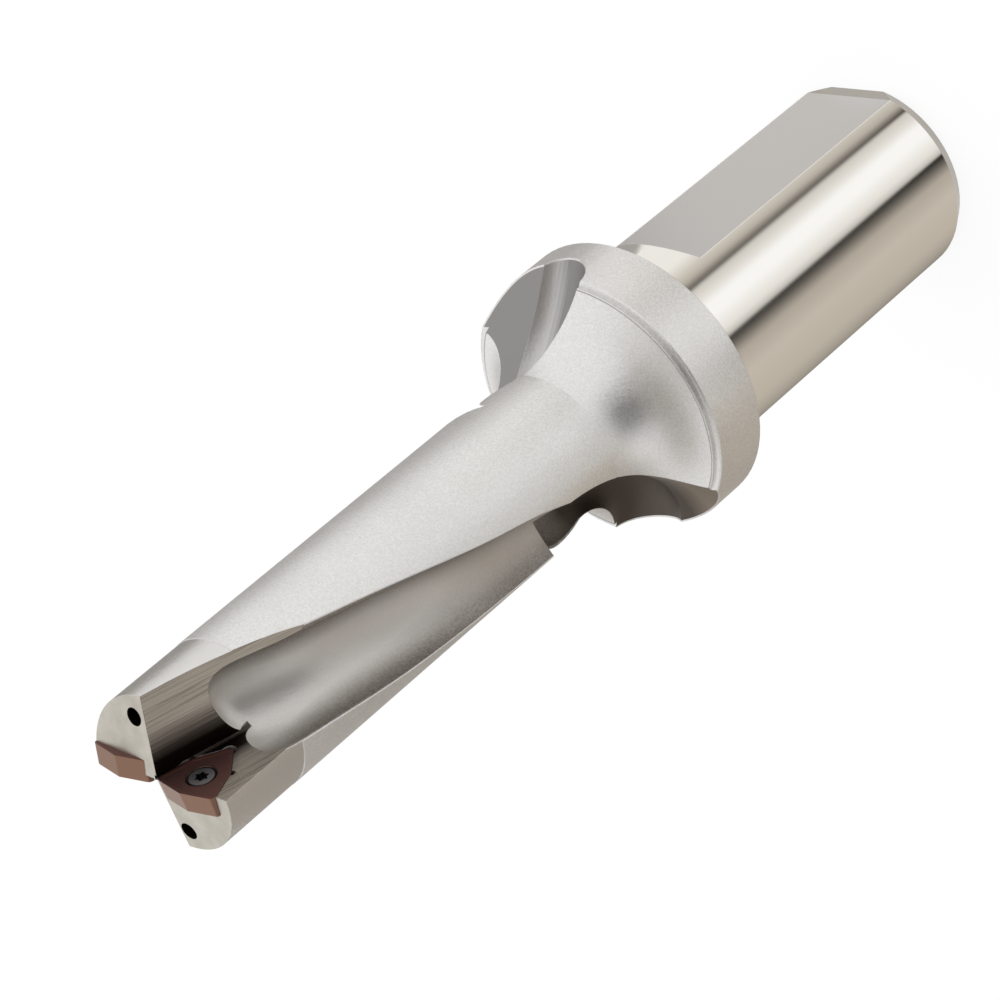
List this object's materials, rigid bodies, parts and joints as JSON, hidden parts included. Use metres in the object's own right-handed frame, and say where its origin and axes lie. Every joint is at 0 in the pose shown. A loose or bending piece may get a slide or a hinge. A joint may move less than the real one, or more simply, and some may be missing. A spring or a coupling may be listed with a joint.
{
  "type": "indexable drill",
  "caption": "Short two-flute indexable drill with a cylindrical shank, clamping flat, round flange and screwed-on trigon inserts at the tip.",
  "frame": {"origin": "centre of the flange's rear seating face, on the drill's axis", "axes": "+Z along the drill's axis towards the tip; +X is the radius that the central insert lies on; +Y is the way its rake face looks"},
  "size_m": [0.0426, 0.0426, 0.1609],
  "materials": {
    "body_steel": "satin nickel-like blasted steel, ground on the shank",
    "coated_carbide": "satin brown coated carbide",
    "screw_steel": "dark satin steel"
  },
  "bodies": {
    "root": {"drill_body": "body_steel", "central_insert": "coated_carbide", "peripheral_insert": "coated_carbide", "central_insert_screw": "screw_steel", "peripheral_insert_screw": "screw_steel"}
  },
  "joints": []
}
